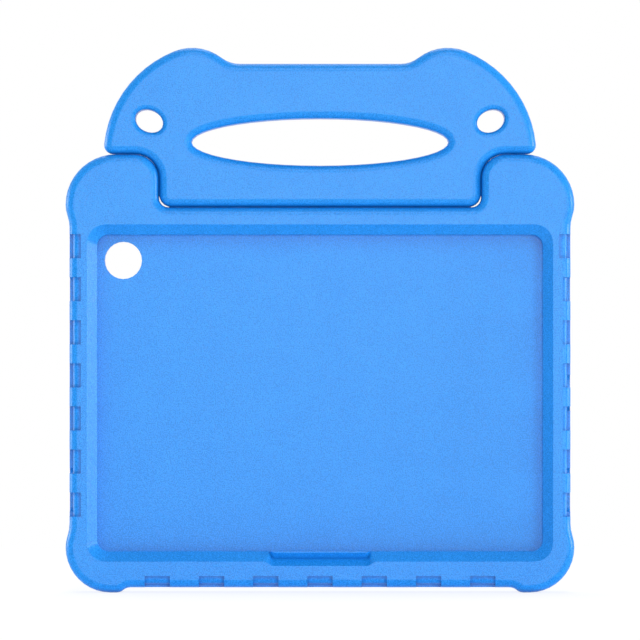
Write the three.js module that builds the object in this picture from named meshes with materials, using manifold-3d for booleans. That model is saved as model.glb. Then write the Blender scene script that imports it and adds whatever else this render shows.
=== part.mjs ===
// Kids tablet case: a foam shell with a pocket behind a front lip, and a foam carrying handle
// between its two shoulders that folds back on hinge pegs to make a stand.
// Millimetres, +Z up, the front faces -Y, and the feet stand on z = 0.
import * as THREE from "three";
import { mergeVertices } from "three/addons/utils/BufferGeometryUtils.js";
import Module from "manifold-3d";

const wasm = await Module();
wasm.setup();

// Pocket and the walls round it.
const pocketLength = 249.2;
const pocketHeight = 180.1;
const pocketDepth = 7.4;
const pocketCorner = 11;
const lipThickness = 5;
const backWall = 12.6;
const sideWall = 9.6;
const bottomWall = 14.1;
const topWall = 9.4;

// Window in the front lip: its bevel ends in a short square land at the inner edge.
const lipOverlap = 5.2;
const bevelWidth = 5.4;
const windowLand = 0.6;
const windowCorner = 6;
const bevelCorner = 10;

// Finger recess in the lower lip, down to a thin ledge, and the sloping tab that stands on it.
const recessWidth = 49.2;
const recessDepth = 4.4;
const recessDrop = 2.3;
const recessSlope = 3.9;
const recessEndRun = 6;
const tabLength = 53.8;
const tabDepth = 2.8;
const tabLand = 0.6;
const tabCorner = 2.6;

// Bulged corners: two feet below and two shoulders above.
const cornerBulge = 2.1;
const footRadius = 24.1;
const footFlat = 3.2;
const footDrop = 2.8;
const footBlend = 7.5;
const footSideBlend = 13;
const shoulderRadius = 27;
const shoulderWidth = 49.9;
const shoulderInnerRadius = 12.9;
const shoulderSideBlend = 12.2;
const notchDepth = 28.4;
const notchCorner = 5.2;
const edgeRadius = 4.4;

// Handle: a bar in the notch, with a wing over each shoulder that ends in a rounded ear.
const handleThickness = 23;
const seamGap = 0.3;
const barCorner = 6.2;
const wingOverhang = 29.9;
const wingTipRadius = 4.5;
const wingWidestDrop = 1;
const handleRise = 48.2;
const earRise = 8.6;
const earRadius = 26;
const earInset = 47.5;
const scoopRadius = 15.7;
const handHoleLength = 137.6;
const handHoleHeight = 25.2;
const handHoleLift = 6.2;
const handHoleRim = 4.3;
const eyeLength = 15.4;
const eyeHeight = 11.7;
const eyeTilt = 25.7;
const eyeInset = 24.5;
const eyeLift = 17.5;
const eyeRim = 2.6;

// Fold: the handle turns back about this axis, as far as the floor of the notch lets it.
const pivotHeight = 13.2;
const foldLimit = 100;
const sillHeight = 0.6;
const sillReach = 7.2;
const scoopMargin = 1;
const scoopRamp = 5;

// Hinge pegs, pushed into the bar, and the sleeves in the shoulders that they turn in.
const fitGap = 0.3;
const journalRadius = 3.8;
const journalLength = 13;
const collarRadius = 7;
const collarThickness = 1.5;
const shankRadius = 3.9;
const shankLength = 22;
const barbHeight = 1;
const barbPitch = 5;
const barbCount = 3;
const sleeveWall = 1.4;
const sleeveFloor = 1.5;
const flangeWidth = 1.1;
const flangeThickness = 1.2;
const flangeRecess = 1.2;

// Shallow finger grips over the front and back edges. On the right all but the top one are short.
const gripDepth = 1.9;
const gripReach = 6.2;
const shortGripReach = 4.3;
const gripBand = 5;
const sideGripLength = 12.9;
const sideGripPitch = 23.05;
const footGripLength = 13.5;
const footGripPitch = 29.05;

// Openings through the back and side walls.
const cameraRadius = 10;
const cameraInset = 19;
const cameraChamfer = 3.5;
const portLength = 20;
const portHeight = 6.4;
const speakerLength = 24;
const speakerHeight = 6;
const speakerOffset = 52;

// Fineness of the faceted surfaces.
const chordError = 0.08;
const roundSteps = 4;
const cornerSteps = 6;
const foldSteps = 10;
const handHoleSteps = 44;
const roundHoleSteps = 24;
const latheSteps = 16;
const overcut = 1;

const foam = new THREE.MeshStandardMaterial({ color: 0x4aa0f8, roughness: 0.62, metalness: 0 });
const hingePlastic = new THREE.MeshStandardMaterial({ color: 0x2f6fc0, roughness: 0.45, metalness: 0 });

// Places that follow from the sizes above.
const bodyThickness = lipThickness + pocketDepth + backWall;
const frontY = -bodyThickness / 2;
const pocketFrontY = frontY + lipThickness;
const pocketBackY = pocketFrontY + pocketDepth;
const pocketBottomZ = footDrop + bottomWall;
const pocketTopZ = pocketBottomZ + pocketHeight;
const pocketMiddleZ = (pocketBottomZ + pocketTopZ) / 2;
const sideX = pocketLength / 2 + sideWall;
const outerX = sideX + cornerBulge;
const notchFloorZ = pocketTopZ + topWall;
const shoulderTopZ = notchFloorZ + notchDepth;
const notchX = outerX - shoulderWidth;
const pivotZ = notchFloorZ + pivotHeight;
const barX = notchX - seamGap;
const barBottomZ = notchFloorZ + seamGap;
const wingBottomZ = shoulderTopZ + seamGap;
const wingX = barX + wingOverhang;
const foldAngle = THREE.MathUtils.degToRad(foldLimit);
const shoulderCentre = { x: outerX - shoulderRadius, z: shoulderTopZ - shoulderRadius };
const shoulderInnerCentre = { x: notchX + shoulderInnerRadius, z: shoulderTopZ - shoulderInnerRadius };
const sideStart = footRadius + footSideBlend;
const sideEnd = shoulderCentre.z - shoulderSideBlend;
const footStart = outerX - footRadius - footFlat - footBlend;

function arcSteps(radius, turn) {
  return Math.max(2, Math.ceil(Math.abs(turn) / (2 * Math.acos(1 - chordError / radius))));
}

// An arc of an outline: it turns left where "to" is over "from", and right where it is under.
function arc(x, z, radius, from, to, steps = arcSteps(radius, to - from)) {
  return { x, z, radius, from, to, steps };
}

// Points of an arc moved into the material by inset. Where the inset is over the radius of an
// outer corner, the corner closes to a small round at the crossing of the moved neighbours.
function arcPoints(piece, inset) {
  const leastRadius = 0.05;
  const turn = Math.sign(piece.to - piece.from);
  const radius = Math.max(piece.radius - turn * inset, leastRadius);
  const missing = radius - (piece.radius - turn * inset);
  const middle = (piece.from + piece.to) / 2;
  const shift = missing / Math.cos((piece.to - piece.from) / 2);
  const centre = new THREE.Vector2(piece.x, piece.z);
  centre.sub(new THREE.Vector2(Math.cos(middle), Math.sin(middle)).multiplyScalar(shift));
  return Array.from({ length: piece.steps + 1 }, (_, step) => {
    const angle = piece.from + ((piece.to - piece.from) * step) / piece.steps;
    return new THREE.Vector2(Math.cos(angle), Math.sin(angle)).multiplyScalar(radius).add(centre);
  });
}

// Whole outline from the arcs of its right half, listed from the bottom up, and their mirror image.
function mirroredOutline(arcs, inset = 0) {
  const right = arcs.flatMap((piece) => arcPoints(piece, inset));
  const left = right.map((point) => new THREE.Vector2(-point.x, point.y)).reverse();
  return [...right, ...left];
}

// Two equal arcs that shift a line sideways by "shift" over the length "run".
function blendRadius(run, shift) {
  return (run * run + shift * shift) / (4 * shift);
}

function blendAngle(run, shift) {
  return 2 * Math.atan2(shift, run);
}

const quarter = Math.PI / 2;

function bodyArcs() {
  const footR = blendRadius(footBlend, footDrop);
  const footA = blendAngle(footBlend, footDrop);
  const lowR = blendRadius(footSideBlend, cornerBulge);
  const lowA = blendAngle(footSideBlend, cornerBulge);
  const highR = blendRadius(shoulderSideBlend, cornerBulge);
  const highA = blendAngle(shoulderSideBlend, cornerBulge);
  return [
    arc(footStart, footDrop - footR, footR, quarter, quarter - footA),
    arc(footStart + footBlend, footR, footR, -quarter - footA, -quarter),
    arc(outerX - footRadius, footRadius, footRadius, -quarter, 0),
    arc(outerX - lowR, footRadius, lowR, 0, lowA),
    arc(sideX + lowR, sideStart, lowR, Math.PI + lowA, Math.PI),
    arc(sideX + highR, sideEnd, highR, Math.PI, Math.PI - highA),
    arc(outerX - highR, shoulderCentre.z, highR, -highA, 0),
    arc(shoulderCentre.x, shoulderCentre.z, shoulderRadius, 0, quarter),
    arc(shoulderInnerCentre.x, shoulderInnerCentre.z, shoulderInnerRadius, quarter, Math.PI),
    arc(notchX - notchCorner, notchFloorZ + notchCorner, notchCorner, 0, -quarter),
  ];
}

// The side of the handle is one large arc that the ear's arc touches from inside.
function handleArcs() {
  const topZ = wingBottomZ + handleRise;
  const ear = { x: wingX - earInset, z: topZ + earRise - earRadius };
  const widestZ = wingBottomZ - wingWidestDrop;
  const climb = ear.z - widestZ;
  const sideRadius = (earInset ** 2 + climb ** 2 - earRadius ** 2) / (2 * (earInset - earRadius));
  const side = { x: wingX - sideRadius, z: widestZ };
  const tip = { z: wingBottomZ + wingTipRadius };
  tip.x = side.x + Math.sqrt((sideRadius - wingTipRadius) ** 2 - (tip.z - side.z) ** 2);
  const scoop = { z: topZ + scoopRadius };
  scoop.x = ear.x - Math.sqrt((scoopRadius + earRadius) ** 2 - (scoop.z - ear.z) ** 2);
  const tipAngle = Math.atan2(tip.z - side.z, tip.x - side.x);
  const earAngle = Math.atan2(ear.z - side.z, ear.x - side.x);
  const scoopAngle = Math.atan2(scoop.z - ear.z, scoop.x - ear.x);
  return [
    arc(barX - barCorner, barBottomZ + barCorner, barCorner, -quarter, 0),
    arc(shoulderInnerCentre.x, shoulderInnerCentre.z, shoulderInnerRadius + seamGap, Math.PI, quarter),
    arc(tip.x, tip.z, wingTipRadius, -quarter, tipAngle),
    arc(side.x, side.z, sideRadius, tipAngle, earAngle),
    arc(ear.x, ear.z, earRadius, earAngle, scoopAngle),
    arc(scoop.x, scoop.z, scoopRadius, scoopAngle - Math.PI, -quarter),
  ];
}

function toManifold(geometry) {
  const bare = geometry.clone();
  bare.deleteAttribute("normal");
  bare.deleteAttribute("uv");
  const merged = mergeVertices(bare, 1e-5);
  return new wasm.Manifold(
    new wasm.Mesh({
      numProp: 3,
      vertProperties: merged.attributes.position.array,
      triVerts: new Uint32Array(merged.index.array),
    }),
  );
}

function toGeometry(solid) {
  const mesh = solid.getMesh();
  const geometry = new THREE.BufferGeometry();
  geometry.setAttribute("position", new THREE.BufferAttribute(mesh.vertProperties, mesh.numProp));
  geometry.setIndex(new THREE.BufferAttribute(mesh.triVerts, 1));
  return geometry;
}

// Solid skinned over sections that have as many points each, in order along their frames' normal.
function loft(sections) {
  const size = sections[0].outline.length;
  const positions = sections.flatMap(({ outline, frame }) =>
    outline.flatMap((point) => new THREE.Vector3(point.x, point.y, 0).applyMatrix4(frame).toArray()),
  );
  const cap = THREE.ShapeUtils.triangulateShape(sections[0].outline, []);
  const endCap = THREE.ShapeUtils.triangulateShape(sections.at(-1).outline, []);
  const last = (sections.length - 1) * size;
  const faces = cap.flatMap(([a, b, c]) => [c, b, a]);
  faces.push(...endCap.flatMap((face) => face.map((index) => index + last)));
  for (let level = 0; level < last; level += size)
    for (let index = 0; index < size; index++) {
      const next = (index + 1) % size;
      faces.push(level + index, level + next, level + size + next);
      faces.push(level + index, level + size + next, level + size + index);
    }
  const geometry = new THREE.BufferGeometry();
  geometry.setAttribute("position", new THREE.Float32BufferAttribute(positions, 3));
  geometry.setIndex(faces);
  return toManifold(geometry);
}

// Frame of a section that faces the front: its axes run along +X and +Z, and its normal along -Y.
function facing(y) {
  return new THREE.Matrix4().set(1, 0, 0, 0, 0, 0, -1, y, 0, 1, 0, 0, 0, 0, 0, 1);
}

// Slab of an outline with both its edges rounded along a quarter circle.
function roundedSlab(arcs, thickness, radius, shrink = 0) {
  const section = (side, step) => {
    const angle = (quarter * step) / roundSteps;
    const inset = radius * (1 - Math.sin(angle));
    const y = side * (thickness / 2 - radius * (1 - Math.cos(angle)));
    return { outline: mirroredOutline(arcs, shrink + inset), frame: facing(y) };
  };
  const steps = Array.from({ length: roundSteps + 1 }, (_, step) => step);
  const back = steps.map((step) => section(1, step));
  const front = steps.map((step) => section(-1, step)).reverse();
  return loft([...back, ...front]);
}

function prism(outline, nearY, farY) {
  return loft([
    { outline, frame: facing(farY) },
    { outline, frame: facing(nearY) },
  ]);
}

// Rectangle in the XZ plane with round corners.
function roundedRectangle(halfWidth, bottom, top, radius) {
  return mirroredOutline([
    arc(halfWidth - radius, bottom + radius, radius, -quarter, 0, cornerSteps),
    arc(halfWidth - radius, top - radius, radius, 0, quarter, cornerSteps),
  ]);
}

function ellipseOutline(centre, halfLength, halfHeight, tilt, flare, steps) {
  return Array.from({ length: steps }, (_, step) => {
    const angle = (2 * Math.PI * step) / steps;
    const normal = new THREE.Vector2(Math.cos(angle) / halfLength, Math.sin(angle) / halfHeight);
    const point = new THREE.Vector2(halfLength * Math.cos(angle), halfHeight * Math.sin(angle));
    point.add(normal.normalize().multiplyScalar(flare));
    return point.rotateAround(new THREE.Vector2(), tilt).add(centre);
  });
}

// Cutter for an elliptical hole right through the handle, with both its rims rounded.
function ellipseCutter(centre, length, height, tilt, rim, sideSteps) {
  const thickness = handleThickness;
  const section = (side, step) => {
    const angle = (quarter * step) / roundSteps;
    const flare = rim * (1 - Math.sin(angle));
    const y = side * (thickness / 2 - rim * (1 - Math.cos(angle)));
    const outline = ellipseOutline(centre, length / 2, height / 2, tilt, flare, sideSteps);
    return { outline, frame: facing(y) };
  };
  const steps = Array.from({ length: roundSteps + 1 }, (_, step) => step);
  const back = steps.map((step) => section(1, step));
  const front = steps.map((step) => section(-1, step)).reverse();
  const outside = { outline: back[0].outline };
  return loft([
    { ...outside, frame: facing(thickness / 2 + overcut) },
    ...back,
    ...front,
    { ...outside, frame: facing(-thickness / 2 - overcut) },
  ]);
}

function box(low, high) {
  const size = high.map((value, axis) => value - low[axis]);
  const geometry = new THREE.BoxGeometry(...size);
  geometry.translate(...low.map((value, axis) => value + size[axis] / 2));
  return toManifold(geometry);
}

// Solid turned about the hinge axis from points given as [x, radius]; side is 1 right, -1 left.
function turned(points, side) {
  const profile = points.map(([x, radius]) => new THREE.Vector2(radius, x));
  const geometry = new THREE.LatheGeometry(profile, latheSteps);
  geometry.rotateZ(-quarter);
  if (side < 0) geometry.rotateY(Math.PI);
  geometry.translate(0, 0, pivotZ);
  return toManifold(geometry);
}

// Frame of a section in a plane through the hinge axis, turned back by angle and slid along.
function foldFrame(angle, slide) {
  const sine = Math.sin(angle);
  const cosine = Math.cos(angle);
  const y = slide * cosine;
  const z = pivotZ - slide * sine;
  return new THREE.Matrix4().set(1, 0, 0, 0, 0, sine, -cosine, y, 0, cosine, sine, z, 0, 0, 0, 1);
}

// Sections of a cutter swept round the hinge axis between two angles.
function foldSections(outline, from, to) {
  return Array.from({ length: foldSteps + 1 }, (_, step) => {
    const angle = from + ((to - from) * step) / foldSteps;
    return { outline, frame: foldFrame(angle, 0) };
  });
}

// What the wing and its root sweep behind the right shoulder as the handle folds back.
function shoulderScoop() {
  const { x, z } = shoulderInnerCentre;
  const corner = arc(x, z - pivotZ, shoulderInnerRadius, Math.PI, quarter);
  const reach = shoulderTopZ - pivotZ;
  const endX = wingX + scoopMargin;
  const outline = [
    new THREE.Vector2(notchX - overcut, z - pivotZ),
    ...arcPoints(corner, 0),
    new THREE.Vector2(endX, reach),
    new THREE.Vector2(endX + scoopRamp, reach + scoopRamp),
    new THREE.Vector2(notchX - overcut, reach + scoopRamp),
  ];
  const slide = handleThickness / 2 + seamGap;
  const end = { outline, frame: foldFrame(foldAngle, slide) };
  return loft([end, ...foldSections(outline, foldAngle, 0)]);
}

// The back edge of the notch floor is cut to the face of the folded handle.
function notchStop() {
  const reach = notchDepth + handleRise;
  const outline = [
    new THREE.Vector2(-notchX, 0),
    new THREE.Vector2(notchX, 0),
    new THREE.Vector2(notchX, reach),
    new THREE.Vector2(-notchX, reach),
  ];
  const slide = handleThickness / 2 + seamGap;
  return loft([
    { outline, frame: foldFrame(foldAngle, slide) },
    { outline, frame: foldFrame(foldAngle, 0) },
  ]);
}

// Low sill across the notch floor, hollowed to the heel of the bar that turns in front of it.
function notchSill() {
  const half = notchX - notchCorner;
  const hollow = [
    new THREE.Vector2(-notchX, pivotHeight / 2),
    new THREE.Vector2(notchX, pivotHeight / 2),
    new THREE.Vector2(notchX, pivotHeight),
    new THREE.Vector2(-notchX, pivotHeight),
  ];
  const sill = box([-half, 0, notchFloorZ - overcut], [half, sillReach, notchFloorZ + sillHeight]);
  return sill.subtract(loft(foldSections(hollow, Math.PI, quarter)));
}

// What the floor of the notch and its corners leave the back of the bar to turn in.
function barScoop() {
  const corner = arc(notchX - notchCorner, pivotHeight - notchCorner - seamGap, notchCorner, quarter, 0);
  const wall = notchX + overcut;
  const outside = pivotHeight + handleThickness;
  const curve = arcPoints(corner, 0);
  const right = [...curve, new THREE.Vector2(wall, curve.at(-1).y), new THREE.Vector2(wall, outside)];
  const left = right.map((point) => new THREE.Vector2(-point.x, point.y)).reverse();
  return loft(foldSections([...left, ...right], Math.PI, quarter));
}

// Window with its bevel, wider towards the front, and the land at its inner edge.
function windowCutter() {
  const halfWidth = pocketLength / 2 - lipOverlap;
  const bottom = pocketBottomZ + lipOverlap;
  const top = pocketTopZ - lipOverlap;
  const section = (grow, y) => {
    const corner = windowCorner + ((bevelCorner - windowCorner) * grow) / bevelWidth;
    const outline = roundedRectangle(halfWidth + grow, bottom - grow, top + grow, corner);
    return { outline, frame: facing(y) };
  };
  const slope = bevelWidth / (lipThickness - windowLand);
  const outerGrow = bevelWidth + overcut * slope;
  return loft([
    section(0, pocketFrontY + overcut),
    section(0, pocketFrontY - windowLand),
    section(outerGrow, frontY - overcut),
  ]);
}

// Dip in the lower bevel, down to a ledge, for a fingertip.
function fingerRecess() {
  const outerEdgeZ = pocketBottomZ + lipOverlap - bevelWidth;
  const slope = recessSlope / recessDepth;
  const section = (depth) => {
    const half = recessWidth / 2;
    const bottom = outerEdgeZ - recessDrop + depth * slope;
    const run = recessEndRun - (depth / recessDepth) * (recessEndRun / 2);
    const rise = recessDrop + (bevelWidth - recessSlope) * (depth / recessDepth);
    const radius = blendRadius(run, rise);
    const angle = blendAngle(run, rise);
    const arcs = [
      arc(half, bottom + radius, radius, -quarter, angle - quarter, cornerSteps),
      arc(half + run, bottom + rise - radius, radius, quarter + angle, quarter, cornerSteps),
    ];
    const right = arcs.flatMap((piece) => arcPoints(piece, 0));
    right.push(new THREE.Vector2(half + run, pocketMiddleZ));
    const left = right.map((point) => new THREE.Vector2(-point.x, point.y)).reverse();
    return { outline: [...right, ...left], frame: facing(frontY + depth) };
  };
  return loft([section(recessDepth), section(-overcut)]);
}

// Tab along the window's lower edge: its face slopes down and back to the bottom of the recess.
function fingerTab() {
  const top = pocketBottomZ + lipOverlap;
  const section = (depth, height) => ({
    outline: roundedRectangle(tabLength / 2, top - height, top + 2 * tabCorner, tabCorner),
    frame: facing(frontY + depth),
  });
  const rise = bevelWidth + recessDrop - recessSlope;
  const tab = loft([
    section(lipThickness, rise),
    section(recessDepth, rise),
    section(recessDepth - tabDepth, tabLand),
  ]);
  return tab.subtract(box([-tabLength, frontY, top], [tabLength, 0, top + 3 * tabCorner]));
}

// Blocks along the side and bottom edges, less the shrunken body that is the floor of the grips.
function gripCutter(arcs) {
  const centres = (length, pitch, span) => {
    const count = 1 + Math.floor((span - length) / pitch);
    return Array.from({ length: count }, (_, index) => (index - (count - 1) / 2) * pitch);
  };
  const blocks = [];
  for (const face of [1, -1]) {
    const depths = [face * gripBand, face * (bodyThickness / 2 + overcut)].sort((a, b) => a - b);
    const shifts = centres(sideGripLength, sideGripPitch, sideEnd - sideStart);
    for (const shift of shifts)
      for (const side of [1, -1]) {
        const reach = side > 0 && shift < shifts.at(-1) ? shortGripReach : gripReach;
        const centre = (sideStart + sideEnd) / 2 + shift;
        const across = [side * (sideX - reach), side * (outerX + overcut)].sort((a, b) => a - b);
        const low = [across[0], depths[0], centre - sideGripLength / 2];
        blocks.push(box(low, [across[1], depths[1], centre + sideGripLength / 2]));
      }
    for (const centre of centres(footGripLength, footGripPitch, 2 * footStart)) {
      const low = [centre - footGripLength / 2, depths[0], -overcut];
      blocks.push(box(low, [centre + footGripLength / 2, depths[1], footDrop + gripReach]));
    }
  }
  const floor = roundedSlab(arcs, bodyThickness - 2 * gripDepth, edgeRadius - gripDepth, gripDepth);
  return wasm.Manifold.union(blocks).subtract(floor);
}

// Camera opening near the upper left corner of the pocket, chamfered at the back.
function cameraCutter() {
  const x = -(pocketLength / 2 - cameraInset);
  const z = pocketTopZ - cameraInset;
  const section = (radius, y) => ({
    outline: ellipseOutline(new THREE.Vector2(x, z), radius, radius, 0, 0, roundHoleSteps),
    frame: facing(y),
  });
  const backY = bodyThickness / 2;
  return loft([
    section(cameraRadius + cameraChamfer + overcut, backY + overcut),
    section(cameraRadius, backY - cameraChamfer),
    section(cameraRadius, pocketBackY - overcut),
  ]);
}

// Round-ended slots through a side wall: the port in the right wall, and two speakers in each.
function wallSlot(side, z, length, height) {
  const radius = height / 2;
  const y = (pocketFrontY + pocketBackY) / 2;
  const wall = sideWall + cornerBulge + overcut;
  const shape = new THREE.Shape();
  shape.absarc(0, length / 2 - radius, radius, 0, Math.PI);
  shape.absarc(0, radius - length / 2, radius, Math.PI, 2 * Math.PI);
  const options = { depth: wall + overcut, bevelEnabled: false, curveSegments: cornerSteps };
  const geometry = new THREE.ExtrudeGeometry(shape, options);
  geometry.rotateX(quarter);
  geometry.rotateZ(quarter);
  const start = side > 0 ? pocketLength / 2 - overcut : -(pocketLength / 2 + wall);
  geometry.translate(start, y, z);
  return toManifold(geometry);
}

function caseBody() {
  const arcs = bodyArcs();
  const pocket = roundedRectangle(pocketLength / 2, pocketBottomZ, pocketTopZ, pocketCorner);
  const scoop = shoulderScoop();
  let body = roundedSlab(arcs, bodyThickness, edgeRadius)
    .subtract(gripCutter(arcs))
    .subtract(scoop)
    .subtract(scoop.mirror([1, 0, 0]))
    .add(notchSill())
    .subtract(notchStop())
    .subtract(prism(pocket, pocketFrontY, pocketBackY))
    .subtract(windowCutter())
    .subtract(fingerRecess())
    .add(fingerTab())
    .subtract(cameraCutter())
    .subtract(wallSlot(1, pocketMiddleZ, portLength, portHeight));
  for (const side of [1, -1]) {
    for (const shift of [speakerOffset, -speakerOffset])
      body = body.subtract(wallSlot(side, pocketMiddleZ + shift, speakerLength, speakerHeight));
    body = body.subtract(turned(sleeveBore(), side));
  }
  return body;
}

function handle() {
  const handHole = new THREE.Vector2(0, wingBottomZ + handHoleLift);
  let body = roundedSlab(handleArcs(), handleThickness, edgeRadius)
    .subtract(ellipseCutter(handHole, handHoleLength, handHoleHeight, 0, handHoleRim, handHoleSteps))
    .subtract(barScoop());
  for (const side of [1, -1]) {
    const eye = new THREE.Vector2(side * (wingX - eyeInset), wingBottomZ + eyeLift);
    const tilt = side * THREE.MathUtils.degToRad(eyeTilt);
    body = body
      .subtract(ellipseCutter(eye, eyeLength, eyeHeight, tilt, eyeRim, roundHoleSteps))
      .subtract(turned(pegBore(), side));
  }
  return body;
}

// Peg: a collar let into the end of the bar, a barbed shank inside it and a journal outside.
const collarX = barX - fitGap;
const shankX = collarX - collarThickness;
const journalEndX = notchX + flangeRecess + journalLength;

function pegProfile() {
  const points = [[shankX - shankLength, 0]];
  for (let barb = 0; barb < barbCount; barb++) {
    const x = shankX - shankLength + barb * barbPitch;
    points.push([x, shankRadius], [x + barbPitch * 0.8, shankRadius + barbHeight]);
    points.push([x + barbPitch * 0.8 + fitGap, shankRadius]);
  }
  const tipChamfer = 0.8;
  points.push([shankX, shankRadius], [shankX, collarRadius], [collarX, collarRadius]);
  points.push([collarX, journalRadius], [journalEndX - tipChamfer, journalRadius]);
  points.push([journalEndX, journalRadius - tipChamfer], [journalEndX, 0]);
  return points;
}

function pegBore() {
  const shankBore = shankRadius + barbHeight + fitGap;
  const collarBore = collarRadius + fitGap;
  return [
    [shankX - shankLength - fitGap, 0],
    [shankX - shankLength - fitGap, shankBore],
    [shankX - fitGap, shankBore],
    [shankX - fitGap, collarBore],
    [barX + overcut, collarBore],
    [barX + overcut, 0],
  ];
}

// Sleeve: a blind tube glued into the shoulder, with a flange below its inner face.
const flangeX = notchX + flangeRecess;
const sleeveEndX = journalEndX + fitGap + sleeveFloor;
const sleeveInner = journalRadius + fitGap;
const sleeveOuter = sleeveInner + sleeveWall;

function sleeveProfile() {
  return [
    [journalEndX + fitGap, 0],
    [journalEndX + fitGap, sleeveInner],
    [flangeX, sleeveInner],
    [flangeX, sleeveOuter + flangeWidth],
    [flangeX + flangeThickness, sleeveOuter + flangeWidth],
    [flangeX + flangeThickness, sleeveOuter],
    [sleeveEndX, sleeveOuter],
    [sleeveEndX, 0],
  ];
}

function sleeveBore() {
  const mouth = sleeveOuter + flangeWidth + fitGap;
  return [
    [notchX - overcut, 0],
    [notchX - overcut, mouth],
    [flangeX + flangeThickness + fitGap, mouth],
    [flangeX + flangeThickness + fitGap, sleeveOuter + fitGap],
    [sleeveEndX + fitGap, sleeveOuter + fitGap],
    [sleeveEndX + fitGap, 0],
  ];
}

function named(name, solid, material) {
  const mesh = new THREE.Mesh(toGeometry(solid), material);
  mesh.name = name;
  return mesh;
}

const shell = new THREE.Group();
const carrier = new THREE.Group();
shell.add(named("case_body", caseBody(), foam));
carrier.add(named("handle", handle(), foam));
for (const [name, side] of [
  ["right", 1],
  ["left", -1],
]) {
  shell.add(named(`hinge_socket_${name}`, turned(sleeveProfile(), side), hingePlastic));
  carrier.add(named(`hinge_peg_${name}`, turned(pegProfile(), side), hingePlastic));
}

const tabletCase = new THREE.Group();
tabletCase.add(shell, carrier);

export default tabletCase;
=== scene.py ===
# Kids tablet case in blue moulded foam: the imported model, dressed and lit for a straight front view.
import math

import bmesh
import bpy
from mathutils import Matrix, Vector


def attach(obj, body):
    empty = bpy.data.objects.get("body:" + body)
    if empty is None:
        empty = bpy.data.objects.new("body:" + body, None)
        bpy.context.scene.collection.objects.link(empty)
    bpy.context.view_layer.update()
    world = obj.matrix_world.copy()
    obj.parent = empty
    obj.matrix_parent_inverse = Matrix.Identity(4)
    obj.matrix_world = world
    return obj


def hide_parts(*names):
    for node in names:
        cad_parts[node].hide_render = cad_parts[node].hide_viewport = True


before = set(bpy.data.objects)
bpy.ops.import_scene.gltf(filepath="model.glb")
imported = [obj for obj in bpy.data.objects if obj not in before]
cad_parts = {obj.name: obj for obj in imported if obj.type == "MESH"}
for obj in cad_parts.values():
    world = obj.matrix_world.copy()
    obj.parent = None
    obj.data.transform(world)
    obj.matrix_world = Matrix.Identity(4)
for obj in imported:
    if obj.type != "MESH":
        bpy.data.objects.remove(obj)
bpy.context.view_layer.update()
print("frame: loaded", sorted(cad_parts))


# A shader socket that can be added, multiplied and so on in plain expressions.
class Flow:
    def __init__(self, tree, socket=None):
        self.tree = tree
        self.socket = socket

    def node(self, kind, settings=None, inputs=None, output=0):
        made = self.tree.nodes.new(kind)
        for name, value in (settings or {}).items():
            setattr(made, name, value)
        for key, value in (inputs or {}).items():
            if isinstance(value, Flow):
                self.tree.links.new(value.socket, made.inputs[key])
            else:
                made.inputs[key].default_value = value
        return Flow(self.tree, made.outputs[output] if made.outputs else None)

    def sum(self, operation, first, second):
        return self.node("ShaderNodeMath", {"operation": operation}, {0: first, 1: second})

    def __add__(self, other):
        return self.sum("ADD", self, other)

    def __radd__(self, other):
        return self.sum("ADD", other, self)

    def __sub__(self, other):
        return self.sum("SUBTRACT", self, other)

    def __rsub__(self, other):
        return self.sum("SUBTRACT", other, self)

    def __mul__(self, other):
        return self.sum("MULTIPLY", self, other)

    def __rmul__(self, other):
        return self.sum("MULTIPLY", other, self)


def newMaterial(name):
    material = bpy.data.materials.new(name)
    material.use_nodes = True
    material.node_tree.nodes.clear()
    return material, Flow(material.node_tree)


def mixColours(flow, amount, first, second):
    made = flow.tree.nodes.new("ShaderNodeMix")
    made.data_type = "RGBA"
    for index, value in ((0, amount), (6, first), (7, second)):
        if isinstance(value, Flow):
            flow.tree.links.new(value.socket, made.inputs[index])
        else:
            made.inputs[index].default_value = value
    return Flow(flow.tree, made.outputs[2])


# Moulded closed-cell foam: a satin skin with a fine grain, and painted shade, a deeper blue in its
# creases, seams and recesses.
foamLook = {
    "blue": (0.001, 0.200, 0.655, 1.0),
    "paleBlue": (0.020, 0.311, 0.890, 1.0),
    # The deeper blue painted into creases and seams as shade, and how far and how finely occlusion is
    # sought for it.
    "paintedShadeBlue": (0.006, 0.160, 0.520, 1.0),
    "paintedShadeReach": 0.0022,
    "paintedShadeSamples": 6,
    "grainContrast": 5.0,
    "cloudContrast": 0.4,
    "paleShift": -2.2,
    "cloudScale": 45.0,
    "roughness": 0.3,
    "roughnessSpread": 0.12,
    "specular": 0.25,
    "grainSize": 0.0006,
    "grainDetail": 2.0,
    "grainRoughness": 0.6,
    "cellSize": 0.0021,
    "cellShare": 0.3,
    "grainDepth": 0.00007,
}


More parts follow.
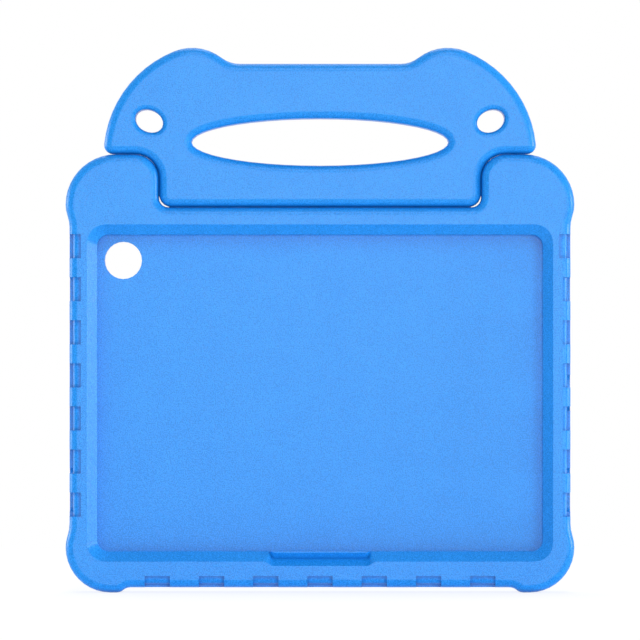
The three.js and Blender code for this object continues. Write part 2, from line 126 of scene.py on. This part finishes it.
def foamMaterial(look):
    material, flow = newMaterial("mouldedFoam")
    place = flow.node("ShaderNodeTexCoord", output="Object")
    grain = flow.node(
        "ShaderNodeTexNoise",
        inputs={
            "Vector": place,
            "Scale": 1 / look["grainSize"],
            "Detail": look["grainDetail"],
            "Roughness": look["grainRoughness"],
        },
    )
    cells = flow.node(
        "ShaderNodeTexVoronoi",
        inputs={"Vector": place, "Scale": 1 / look["cellSize"], "Randomness": 1.0},
    )
    cloud = flow.node(
        "ShaderNodeTexNoise", inputs={"Vector": place, "Scale": look["cloudScale"], "Detail": 3.0}
    )
    pale = look["grainContrast"] * grain + look["cloudContrast"] * cloud + look["paleShift"]
    blue = mixColours(flow, pale, look["blue"], look["paleBlue"])
    # Painted shade: where nearby foam hems the surface in, the base colour turns to the deeper crease
    # blue.
    paintedShadeOpenness = flow.node(
        "ShaderNodeAmbientOcclusion",
        {"samples": look["paintedShadeSamples"]},
        {"Distance": look["paintedShadeReach"]},
        output="AO",
    )
    shaded = mixColours(flow, paintedShadeOpenness * paintedShadeOpenness, look["paintedShadeBlue"], blue)
    bump = flow.node(
        "ShaderNodeBump",
        inputs={
            "Height": grain + look["cellShare"] * cells,
            "Distance": look["grainDepth"],
            "Strength": 1.0,
        },
    )
    skin = flow.node(
        "ShaderNodeBsdfPrincipled",
        inputs={
            "Base Color": shaded,
            "Roughness": look["roughness"] + look["roughnessSpread"] * (grain - 0.5),
            "Specular IOR Level": look["specular"],
            "Normal": bump,
        },
    )
    flow.node("ShaderNodeOutputMaterial", inputs={"Surface": skin})
    return material


# Hard hinge plastic, seen only in the seams: satin, with faint moulding streaks.
plasticLook = {
    "blue": (0.027, 0.162, 0.522, 1.0),
    "streakBlue": (0.020, 0.130, 0.440, 1.0),
    "roughness": 0.42,
    "roughnessSpread": 0.08,
    "streakScale": 900.0,
    "streakDetail": 4.0,
    "streakWarp": 0.4,
    "streakDepth": 0.00003,
}


def plasticMaterial(look):
    material, flow = newMaterial("hingePlastic")
    place = flow.node("ShaderNodeTexCoord", output="Object")
    streaks = flow.node(
        "ShaderNodeTexNoise",
        inputs={
            "Vector": place,
            "Scale": look["streakScale"],
            "Detail": look["streakDetail"],
            "Distortion": look["streakWarp"],
        },
    )
    blue = mixColours(flow, streaks, look["blue"], look["streakBlue"])
    bump = flow.node("ShaderNodeBump", inputs={"Height": streaks, "Distance": look["streakDepth"]})
    skin = flow.node(
        "ShaderNodeBsdfPrincipled",
        inputs={
            "Base Color": blue,
            "Roughness": look["roughness"] + look["roughnessSpread"] * streaks,
            "Normal": bump,
        },
    )
    flow.node("ShaderNodeOutputMaterial", inputs={"Surface": skin})
    return material


foam = foamMaterial(foamLook)
plastic = plasticMaterial(plasticLook)
print("materials: foam and hinge plastic made")


# The foam mouldings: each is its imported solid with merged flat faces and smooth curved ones.
mouldingShape = {
    "mergeDistance": 0.000002,
    "flatAngle": 0.4,
    "smoothAngle": 27.0,
}


# Each corner of a face takes the mean direction of the faces there that lean nearly as it does.
def smoothNormals(mesh, limit):
    leastMatch = math.cos(limit)
    around = [[] for vertex in mesh.vertices]
    for face in mesh.polygons:
        for vertex in face.vertices:
            around[vertex].append(face)
    normals = []
    for face in mesh.polygons:
        for vertex in face.vertices:
            near = [other for other in around[vertex] if other.normal.dot(face.normal) > leastMatch]
            mean = sum((other.area * other.normal for other in near), Vector())
            normals.append(mean.normalized() if mean.length else face.normal.copy())
    mesh.normals_split_custom_set(normals)


# A thin soft lip runs along the handle's seam walls and its bar, so that the seam shows dark.
# "line" is its y, and each of its runs covers a range of x on both sides and a range of z.
seamLip = {
    "line": -0.0075,
    "halfWidth": 0.0011,
    "rise": 0.00034,
    "cutTolerance": 0.000001,
    "lineTolerance": 0.000002,
    "runs": [
        {"across": (0.0855, 0.1160), "height": (0.2125, 0.2353)},
        {"across": (0.0, 0.0800), "height": (0.2060, 0.2072)},
    ],
}


def raiseLip(bm, lip):
    for offset in (-lip["halfWidth"], 0.0, lip["halfWidth"]):
        bmesh.ops.bisect_plane(
            bm,
            geom=bm.verts[:] + bm.edges[:] + bm.faces[:],
            dist=lip["cutTolerance"],
            plane_co=(0.0, lip["line"] + offset, 0.0),
            plane_no=(0.0, 1.0, 0.0),
        )
    bm.normal_update()
    for vert in bm.verts:
        if abs(vert.co.y - lip["line"]) > lip["lineTolerance"]:
            continue
        for run in lip["runs"]:
            inner, outer = run["across"]
            low, high = run["height"]
            if inner <= abs(vert.co.x) < outer and low < vert.co.z < high:
                vert.co += vert.normal * lip["rise"]


def moulding(name, node, body, shape, lip=None):
    bm = bmesh.new()
    bm.from_mesh(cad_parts[node].data)
    bmesh.ops.remove_doubles(bm, verts=bm.verts, dist=shape["mergeDistance"])
    bmesh.ops.dissolve_limit(
        bm, angle_limit=math.radians(shape["flatAngle"]), verts=bm.verts, edges=bm.edges
    )
    if lip:
        raiseLip(bm, lip)
    for face in bm.faces:
        face.smooth = True
    mesh = bpy.data.meshes.new(name)
    bm.to_mesh(mesh)
    bm.free()
    smoothNormals(mesh, math.radians(shape["smoothAngle"]))
    mesh.materials.append(foam)
    piece = bpy.data.objects.new(name, mesh)
    bpy.context.scene.collection.objects.link(piece)
    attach(piece, body)
    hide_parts(node)
    return piece


shell = moulding("foam_shell", "case_body", "case", mouldingShape)
handle = moulding("foam_handle", "handle", "handle", mouldingShape, seamLip)
for name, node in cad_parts.items():
    if name.startswith("hinge_"):
        node.data.materials.clear()
        node.data.materials.append(plastic)
print(
    "mouldings: shell", len(shell.data.polygons), "faces, handle", len(handle.data.polygons), "faces"
)


# The front view: a square of pixels, their size on the object, and the row that the object stands on.
photo = {
    "pixels": 640,
    "metresPerPixel": 0.0005368,
    "groundRow": 592.0,
    "distance": 4.0,
    "sensor": 0.036,
}


def frontCamera(view):
    width = view["pixels"] * view["metresPerPixel"]
    height = (view["groundRow"] - view["pixels"] / 2) * view["metresPerPixel"]
    camera = bpy.data.cameras.new("camera")
    camera.sensor_width = view["sensor"] * 1000
    camera.lens = camera.sensor_width * view["distance"] / width
    holder = bpy.data.objects.new("camera", camera)
    holder.location = (0.0, -view["distance"], height)
    holder.rotation_euler = (math.radians(90.0), 0.0, 0.0)
    bpy.context.scene.collection.objects.link(holder)
    bpy.context.scene.camera = holder


frontCamera(photo)
print("camera: straight front view")


# Plain studio: a weak white surround, with softboxes round the object. Turn and rise are in degrees,
# seen from the object's middle: turn 0 is straight in front and 90 is to the right of the photograph.
studio = {
    "lamps": {
        "frontLow": {"turn": 1, "rise": 0.8, "away": 5.0, "size": (0.8, 0.44), "power": 18.0},
        "frontHigh": {"turn": 1, "rise": 4.5, "away": 5.0, "size": (0.7, 0.7), "power": 32.0},
        "topFront": {"turn": 1, "rise": 31, "away": 5.0, "size": (0.8, 1.4), "power": 31.0},
        "top": {"turn": 1, "rise": 47, "away": 5.0, "size": (0.8, 1.4), "power": 32.0},
        "rightFront": {"turn": 31, "rise": 3, "away": 4.5, "size": (1.1, 0.9), "power": 38.0},
        "right": {"turn": 84, "rise": 4, "away": 3.0, "size": (0.8, 0.8), "power": 41.0},
        "left": {"turn": -102, "rise": 5, "away": 2.6, "size": (1.0, 1.0), "power": 34.0},
        "above": {"turn": 180, "rise": 68, "away": 2.42, "size": (1.5, 1.5), "power": 23.0},
    },
    "middle": 0.15,
    "surround": 0.24,
    "floorSize": 6.0,
    "floorGrey": 0.85,
    "floorBounce": 0.3,
    "shadowDepth": 0.30,
    "floorLevel": 1.01,
    "floorLight": 0.72,
    "shadowReach": 0.45,
    "shadowFade": 0.35,
}


def softbox(name, lamp, middle):
    turn, rise = math.radians(lamp["turn"]), math.radians(lamp["rise"])
    outward = Vector(
        (math.sin(turn) * math.cos(rise), -math.cos(turn) * math.cos(rise), math.sin(rise))
    )
    light = bpy.data.lights.new(name, "AREA")
    light.shape = "RECTANGLE"
    light.size, light.size_y = lamp["size"]
    light.energy = lamp["power"]
    holder = bpy.data.objects.new(name, light)
    holder.location = Vector((0.0, 0.0, middle)) + lamp["away"] * outward
    holder.rotation_euler = outward.to_track_quat("Z", "Y").to_euler()
    holder.visible_camera = False
    bpy.context.scene.collection.objects.link(holder)


def whiteWorld(strength):
    world = bpy.data.worlds.new("studio")
    world.use_nodes = True
    world.node_tree.nodes.clear()
    flow = Flow(world.node_tree)
    seen = seenDirectly(flow)
    level = strength + (1.0 - strength) * seen
    light = flow.node("ShaderNodeBackground", inputs={"Color": grey(1.0), "Strength": level})
    flow.node("ShaderNodeOutputWorld", inputs={"Surface": light})
    bpy.context.scene.world = world


# 1 for rays of the camera, of gloss and of glass, and 0 for those that light a surface.
def seenDirectly(flow):
    rays = flow.tree.nodes.new("ShaderNodeLightPath")
    camera, gloss, glass = (
        Flow(flow.tree, rays.outputs[name])
        for name in ("Is Camera Ray", "Is Glossy Ray", "Is Transmission Ray")
    )
    return flow.sum("MAXIMUM", camera, flow.sum("MAXIMUM", gloss, glass))


def grey(level):
    return (level, level, level, 1.0)


# The floor shows the object's shadow round its feet and fades to the plain surround further out.
# To rays that light the object it is a pale sheet with some light of its own.
def whiteFloor(look):
    bm = bmesh.new()
    bmesh.ops.create_grid(bm, x_segments=1, y_segments=1, size=look["floorSize"] / 2)
    mesh = bpy.data.meshes.new("floor")
    bm.to_mesh(mesh)
    bm.free()
    material, flow = newMaterial("floorPaper")
    place = flow.node("ShaderNodeTexCoord", output="Object")
    away = flow.node("ShaderNodeVectorMath", {"operation": "LENGTH"}, {0: place}, output="Value")
    near = 1.0 - flow.node(
        "ShaderNodeMapRange",
        inputs={0: away, 1: look["shadowReach"], 2: look["shadowReach"] + look["shadowFade"]},
    )
    matte = flow.node("ShaderNodeBsdfDiffuse", inputs={"Color": grey(look["floorGrey"])})
    bounce = flow.node("ShaderNodeEmission", inputs={"Strength": look["floorBounce"]})
    sheet = flow.node("ShaderNodeAddShader", inputs={0: matte, 1: bounce})
    glow = flow.node("ShaderNodeEmission", inputs={"Strength": 1.0})
    shade = flow.node("ShaderNodeBsdfDiffuse", inputs={"Color": grey(look["shadowDepth"])})
    missing = look["floorLevel"] - look["floorLight"] * look["shadowDepth"]
    lift = flow.node("ShaderNodeEmission", inputs={"Strength": missing})
    lit = flow.node("ShaderNodeAddShader", inputs={0: shade, 1: lift})
    blend = flow.node("ShaderNodeMixShader", inputs={0: near, 1: glow, 2: lit})
    paper = flow.node("ShaderNodeMixShader", inputs={0: seenDirectly(flow), 1: sheet, 2: blend})
    flow.node("ShaderNodeOutputMaterial", inputs={"Surface": paper})
    mesh.materials.append(material)
    floor = bpy.data.objects.new("floor", mesh)
    bpy.context.scene.collection.objects.link(floor)


for name, lamp in studio["lamps"].items():
    softbox(name + "Lamp", lamp, studio["middle"])
whiteWorld(studio["surround"])
whiteFloor(studio)
bpy.context.scene.view_settings.view_transform = "Standard"
print("studio: lights, world and floor set")
